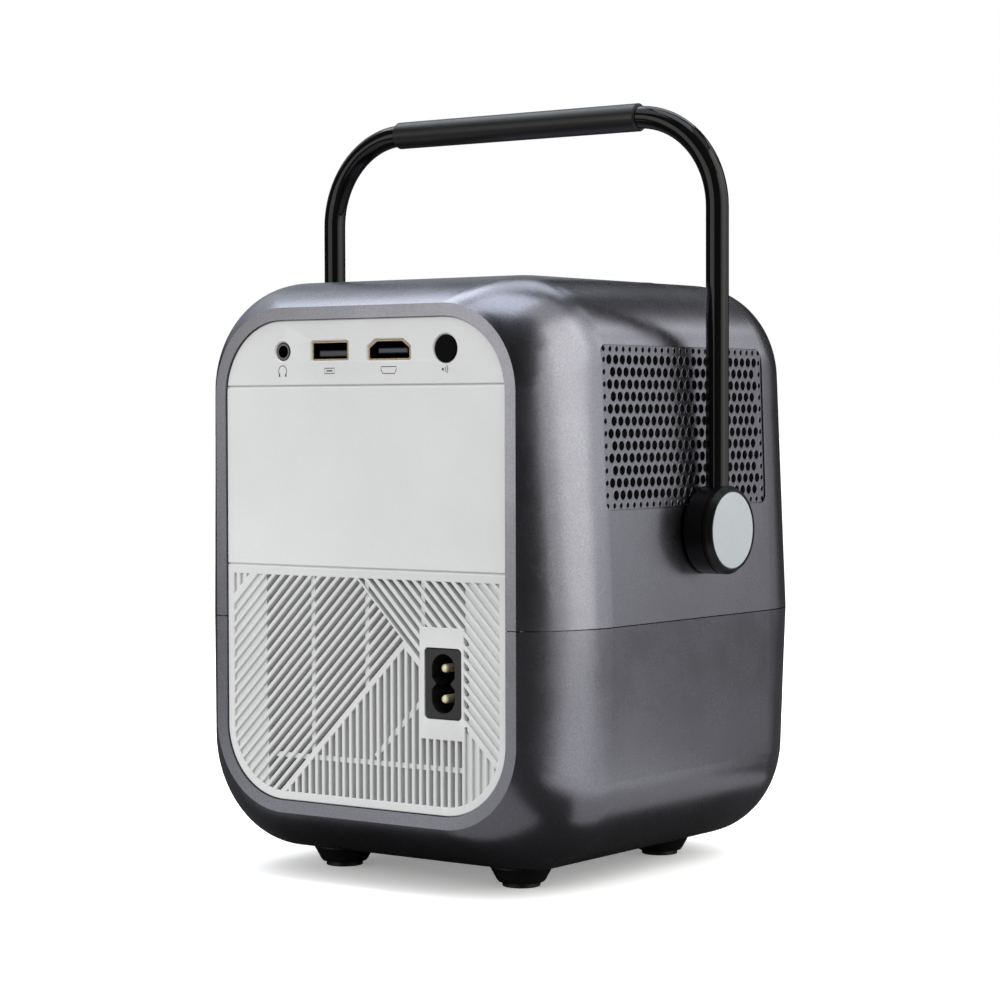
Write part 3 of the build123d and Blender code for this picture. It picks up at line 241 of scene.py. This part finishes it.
MATERIALS = materials()
SLOT_OF = {entry["node"]: entry["material_slot"] for entry in frame["record"]["subparts"]}


def dress(obj, slot):
    obj.data.materials.clear()
    obj.data.materials.append(MATERIALS[slot])


for name, obj in NODES.items():
    dress(obj, SLOT_OF[name])
dress(NODES["ir_window"], "window_black")


# ------------------------------------------------------------------ added pieces
def add_piece(name, verts, faces, body, material, smooth=True):
    """Mesh piece in the object's frame that rides on a CAD body."""
    mesh = bpy.data.meshes.new(name)
    mesh.from_pydata([tuple(v) for v in verts], [], faces)
    mesh.validate()
    mesh.polygons.foreach_set("use_smooth", [smooth] * len(mesh.polygons))
    mesh.materials.append(MATERIALS[material])
    obj = bpy.data.objects.new(name, mesh)
    bpy.context.scene.collection.objects.link(obj)
    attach(obj, body)
    return obj


def thicken(obj, thickness):
    solid = obj.modifiers.new("thickness", "SOLIDIFY")
    solid.thickness = thickness
    solid.offset = 0.0


def make_vent_shade_sheet(name, side):
    """Black sheet behind a vent, slightly loose between its glued edges, put there as painted shade so
    that the vent's holes read dark.
    """
    low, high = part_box(f"vent_{name}")
    vent_thickness, gap, inset, slack = 1.2 * MM, 0.3 * MM, 0.8 * MM, 0.35 * MM
    columns, rows = 36, 20
    rng = random.Random(7)
    # the vent leans inwards towards its top
    if side > 0:
        face_low, face_high = high.x, low.x + vent_thickness
    else:
        face_low, face_high = low.x, high.x - vent_thickness
    verts, faces = [], []
    for j in range(rows + 1):
        v = j / rows
        z = low.z + inset + v * (high.z - low.z - 2 * inset)
        x_face = face_low + v * (face_high - face_low)
        for i in range(columns + 1):
            u = i / columns
            y = low.y + inset + u * (high.y - low.y - 2 * inset)
            sag = slack * math.sin(math.pi * u) * math.sin(math.pi * v) + rng.uniform(-1, 1) * 0.01 * MM
            verts.append((x_face - side * (vent_thickness + gap + sag), y, z))
    for j in range(rows):
        for i in range(columns):
            a = j * (columns + 1) + i
            face = (a, a + 1, a + columns + 2, a + columns + 1)
            faces.append(face if side < 0 else face[::-1])
    # painted shade: the black sheet stands in for the shade inside the vent's holes
    shade_sheet = add_piece(f"vent_shade_sheet_{name}", verts, faces, "body", "backing_black")
    thicken(shade_sheet, 0.12 * MM)
    smooth = shade_sheet.modifiers.new("smooth", "SUBSURF")
    smooth.levels = smooth.render_levels = 1


def edge_loops_of_face(obj, outward):
    """Loops of points round the faces of a CAD mesh that look outward, holes included."""
    mesh = bmesh.new()
    mesh.from_mesh(obj.data)
    bmesh.ops.remove_doubles(mesh, verts=mesh.verts, dist=1e-6)
    flat = {f for f in mesh.faces if f.normal.dot(outward) > 0.999}
    rim_edges = [e for e in mesh.edges if sum(f in flat for f in e.link_faces) == 1]
    following = {}
    for edge in rim_edges:
        for vert in edge.verts:
            following.setdefault(vert, []).append(edge)
    loops, used = [], set()
    for start in rim_edges:
        if start in used:
            continue
        loop, edge, vert = [], start, start.verts[0]
        while edge not in used:
            used.add(edge)
            vert = edge.other_vert(vert)
            loop.append(vert.co.copy())
            onward = [e for e in following[vert] if e not in used]
            if not onward:
                break
            edge = onward[0]
        loops.append(loop)
    mesh.free()
    return loops


def make_vent_rims(name, side):
    """Rounded lips pressed up around the holes of a vent, found from the vent's own hole edges."""
    outward = Vector((side, 0.0, 0.035)).normalized()
    along = Vector((0, 1, 0))
    across = outward.cross(along).normalized()
    # the lip's section in mm: out from the hole's edge, and up from the face
    profile = ((0.0, -0.10), (0.0, 0.02), (0.05, 0.05), (0.12, 0.05), (0.2, 0.01), (0.22, -0.05))
    count = len(profile)
    largest_hole = 2 * MM
    verts, faces = [], []
    for loop in edge_loops_of_face(NODES[f"vent_{name}"], outward):
        middle = sum(loop, Vector()) / len(loop)
        radius = sum((p - middle).length for p in loop) / len(loop)
        if radius > largest_hole:
            continue
        steps = 20 if radius > MM else 14
        base = len(verts)
        for k in range(steps):
            angle = 2 * math.pi * k / steps
            ray = along * math.cos(angle) + across * math.sin(angle)
            for out, up in profile:
                verts.append(middle + ray * (radius + out * MM) + outward * up * MM)
        for k in range(steps):
            here, there = base + k * count, base + (k + 1) % steps * count
            for m in range(count):
                n = (m + 1) % count
                faces.append((here + m, here + n, there + n, there + m))
    rims = add_piece(f"vent_rims_{name}", verts, faces, "body", "vent_paint")
    shape = bmesh.new()
    shape.from_mesh(rims.data)
    bmesh.ops.recalc_face_normals(shape, faces=shape.faces)
    shape.to_mesh(rims.data)
    shape.free()


def stroke(points, width):
    """Flat ribbon of quads along points given in a plane, as 2D vertices and faces."""
    verts, faces = [], []
    closed = (Vector(points[0]) - Vector(points[-1])).length < 1e-9
    for i, point in enumerate(points):
        before = Vector(points[i - 1]) if i > 0 else Vector(points[-2] if closed else point)
        after = Vector(points[i + 1]) if i < len(points) - 1 else Vector(points[1] if closed else point)
        along = (after - before).normalized()
        across = Vector((-along.y, along.x)) * width / 2
        verts += [Vector(point) + across, Vector(point) - across]
    for i in range(len(points) - 1):
        faces.append((2 * i, 2 * i + 1, 2 * i + 3, 2 * i + 2))
    return verts, faces


def arc(cx, cz, radius, start, end, steps=24):
    angles = [math.radians(start + (end - start) * i / steps) for i in range(steps + 1)]
    return [(cx + radius * math.cos(a), cz + radius * math.sin(a)) for a in angles]


def make_port_marks():
    """Small plain printed symbols under the ports: ear-cup arc, oblong, barrel shape, dot with waves."""
    panel_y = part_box("rear_port_panel")[1].y
    width, below_port = 0.24 * MM, 5.7 * MM

    def middle(node):
        low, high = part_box(node)
        return (low.x + high.x) / 2, (low.z + high.z) / 2 - below_port

    strokes = []
    x, z = middle("audio_jack")
    strokes.append((arc(x, z + 0.15 * MM, 1.5 * MM, -35, 215), width))
    for cup_x in (x - 1.2 * MM, x + 1.2 * MM):
        strokes.append(([(cup_x, z - 0.65 * MM), (cup_x, z - 1.55 * MM)], 0.5 * MM))
    x, z = middle("usb_socket")
    w, h = 1.8 * MM, 0.75 * MM
    outline = [(x - w, z - h), (x + w, z - h), (x + w, z + h), (x - w, z + h)]
    strokes.append((outline + outline[:1], width))
    strokes.append(([(x - w * 0.6, z), (x + w * 0.6, z)], 0.4 * MM))
    x, z = middle("video_socket")
    w, h = 2.7 * MM, 0.95 * MM
    outline = [(x - w * 0.8, z - h), (x + w * 0.8, z - h), (x + w, z)]
    outline += [(x + w, z + h), (x - w, z + h), (x - w, z)]
    strokes.append((outline + outline[:1], width))
    x, z = middle("ir_window")
    x += 0.8 * MM
    strokes.append((arc(x, z, 0.2 * MM, 0, 360, 16), 0.4 * MM))
    for reach in (1.0 * MM, 1.7 * MM):
        strokes.append((arc(x, z, reach, 140, 220, 12), width))
    verts, faces = [], []
    for points, line in strokes:
        flat, quads = stroke(points, line)
        base = len(verts)
        verts += [(v.x, panel_y + 0.012 * MM, v.y) for v in flat]
        faces += [tuple(base + k for k in quad) for quad in quads]
    marks = add_piece("port_marks", verts, faces, "body", "print_grey", smooth=False)
    thicken(marks, 0.01 * MM)


def make_seam_beads():
    """White beads of glue at the bottom of the grooves between the rear panels."""
    panel_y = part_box("rear_port_panel")[1].y
    low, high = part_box("rear_blank_panel")
    steps, short_of_side = 44, 2 * MM
    # the bead's section in mm: out from the panels' face, and up from the middle of the groove
    profile = ((-1.5, -0.04), (-0.40, -0.04), (-0.35, -0.02), (-0.34, 0.0))
    profile += ((-0.35, 0.02), (-0.40, 0.04), (-1.5, 0.04))
    count = len(profile)
    for name, above, below in (
        ("upper", "rear_port_panel", "rear_blank_panel"),
        ("lower", "rear_blank_panel", "rear_grille"),
    ):
        z = (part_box(above)[0].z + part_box(below)[1].z) / 2
        verts, faces = [], []
        for i in range(steps + 1):
            x = low.x + short_of_side + i / steps * (high.x - low.x - 2 * short_of_side)
            verts += [(x, panel_y + dy * MM, z + dz * MM) for dy, dz in profile]
        for i in range(steps):
            for k in range(count):
                a, b = i * count + k, i * count + (k + 1) % count
                faces.append((a, b, b + count, a + count))
        faces += [tuple(range(count)), tuple(range(len(verts) - 1, len(verts) - 1 - count, -1))]
        add_piece(f"seam_bead_{name}", verts, faces, "body", "panel_white")


for vent_name, vent_side in (("left", 1), ("right", -1)):
    make_vent_shade_sheet(vent_name, vent_side)
    make_vent_rims(vent_name, vent_side)
make_port_marks()
make_seam_beads()


# ------------------------------------------------------------------ studio
def camera_ray_switch(tree, seen, unseen):
    """Shader that is seen directly as one thing and lights the object as another."""
    path = tree.nodes.new("ShaderNodeLightPath")
    mix = tree.nodes.new("ShaderNodeMixShader")
    tree.links.new(path.outputs["Is Camera Ray"], mix.inputs["Fac"])
    tree.links.new(unseen, mix.inputs[1])
    tree.links.new(seen, mix.inputs[2])
    return mix.outputs[0], path


def add_softbox(name, azimuth, elevation, width, height, radiance, tint=(1.0, 1.0, 1.0)):
    """Soft rectangular light 1 m from the object; angles in degrees, azimuth from +Y towards +X.

    width and height are the angles it spans as seen from the object.
    """
    a, e = math.radians(azimuth), math.radians(elevation)
    light = bpy.data.lights.new(name, "AREA")
    light.shape = "RECTANGLE"
    light.size = 2 * math.tan(math.radians(width) / 2)
    light.size_y = 2 * math.tan(math.radians(height) / 2)
    light.energy = math.pi * light.size * light.size_y * radiance
    light.color = tint
    obj = bpy.data.objects.new(name, light)
    bpy.context.scene.collection.objects.link(obj)
    direction = Vector((math.sin(a) * math.cos(e), math.cos(a) * math.cos(e), math.sin(e)))
    obj.location = direction + Vector((0, 0, 0.1))
    obj.rotation_euler = (-direction).to_track_quat("-Z", "Y").to_euler()
    obj.visible_camera = False
    return obj


COOL, WARM = (0.95, 1.0, 1.07), (1.01, 1.0, 0.95)
# name, azimuth, elevation, width, height, radiance, tint
SOFTBOXES = (
    ("side_near", -75, 14, 14, 40, 1.5, WARM),
    ("side_strip", -101, 24, 38, 60, 2.7, WARM),
    ("side_mid", -131, 22, 22, 56, 1.4),
    ("side_far", -153, 4, 22, 19, 0.45),
    ("side_far_upper", -149, 23, 18, 20, 1.3),
    ("side_far_top", -157, 37, 10, 20, 1.6),
    ("front_fill", 172, 33, 26, 16, 0.1),
    ("side_high", -108, 66, 32, 22, 1.0),
    ("rear_low", 19, 10, 46, 30, 1.95, WARM),
    ("back_low", 123, 26, 50, 28, 0.34, COOL),
    ("left_upper", 73.6, 60, 60, 24, 1.6, COOL),
    ("back_upper", 133.6, 60, 60, 24, 2.0, COOL),
    ("left_middle", 103.6, 36, 40, 24, 0.4, COOL),
    ("overhead", -10, 86, 30, 30, 2.8, COOL),
)

# white cards that lie on the floor beside and behind the object: name, place, width, depth, radiance
FLOOR_CARDS = (
    ("side_card", (-0.385, -0.02), 28.6, 14.8, 1.0),
    ("side_card_near", (-0.105, -0.025), 2.9, 8.6, 0.5),
    ("side_card_far", (-0.31, -0.27), 15.9, 12.6, 0.4),
    ("rear_card", (0.16, 0.26), 17, 17, 0.75),
    ("rear_card_near", (0.03, 0.12), 11.4, 5.7, 0.35),
)


def studio():
    scene = bpy.context.scene
    scene.view_settings.view_transform = "Standard"
    world = bpy.data.worlds.new("studio")
    scene.world = world
    world.use_nodes = True
    tree = world.node_tree
    soft = tree.nodes["Background"]
    soft.inputs["Color"].default_value = (1.0, 1.0, 1.0, 1.0)
    white = tree.nodes.new("ShaderNodeBackground")
    white.inputs["Color"].default_value = (1.0, 1.0, 1.0, 1.0)
    output, path = camera_ray_switch(tree, white.outputs[0], soft.outputs[0])
    tree.links.new(output, tree.nodes["World Output"].inputs["Surface"])
    strength = tree.nodes.new("ShaderNodeMapRange")
    strength.inputs["To Min"].default_value = 0.03
    strength.inputs["To Max"].default_value = 1.0
    tree.links.new(path.outputs["Is Diffuse Ray"], strength.inputs["Value"])
    tree.links.new(strength.outputs["Result"], soft.inputs["Strength"])

    mesh = bpy.data.meshes.new("floor")
    reach = 12.0
    corners = [(-reach, -reach, 0), (reach, -reach, 0), (reach, reach, 0), (-reach, reach, 0)]
    mesh.from_pydata(corners, [], [(0, 1, 2, 3)])
    floor = bpy.data.objects.new("floor", mesh)
    scene.collection.objects.link(floor)
    paper = Shader("floor_paper", (1.0, 1.0, 1.0), 1.0, 0.0, Specular_IOR_Level=0.0,
                   Emission_Color=(1.0, 1.0, 1.0, 1.0), Emission_Strength=0.24)
    paper.bump(paper.noise(0.004, 3.0), 0.00002)
    grey = paper.nodes.new("ShaderNodeBsdfDiffuse")
    grey.inputs["Color"].default_value = (0.05, 0.05, 0.05, 1.0)
    output, path = camera_ray_switch(paper.tree, paper.bsdf.outputs[0], grey.outputs[0])
    paper.links.new(output, paper.nodes["Material Output"].inputs["Surface"])
    floor.data.materials.append(paper.material)

    for box_light in SOFTBOXES:
        add_softbox(*box_light)
    for name, place, width, depth, radiance in FLOOR_CARDS:
        card = add_softbox(name, 0, 0, width, depth, radiance)
        card.location = (*place, 2 * MM)
        card.rotation_euler = (math.pi, 0, 0)


def camera():
    data = bpy.data.cameras.new("camera")
    data.sensor_width = 36.0
    data.lens = 99.6
    data.clip_end = 100
    obj = bpy.data.objects.new("camera", data)
    bpy.context.scene.collection.objects.link(obj)
    yaw, pitch, roll = math.radians(36.395), math.radians(1.802), math.radians(-0.143)
    forward = Vector((math.sin(yaw) * math.cos(pitch), -math.cos(yaw) * math.cos(pitch), -math.sin(pitch)))
    level = forward.cross(Vector((0, 0, 1))).normalized()
    upright = level.cross(forward)
    right = level * math.cos(roll) + upright * math.sin(roll)
    up = upright * math.cos(roll) - level * math.sin(roll)
    axes = Matrix((right, up, -forward)).transposed()
    obj.matrix_world = Matrix.Translation((-0.49633, 0.67571, 0.13537)) @ axes.to_4x4()
    bpy.context.scene.camera = obj


studio()
camera()
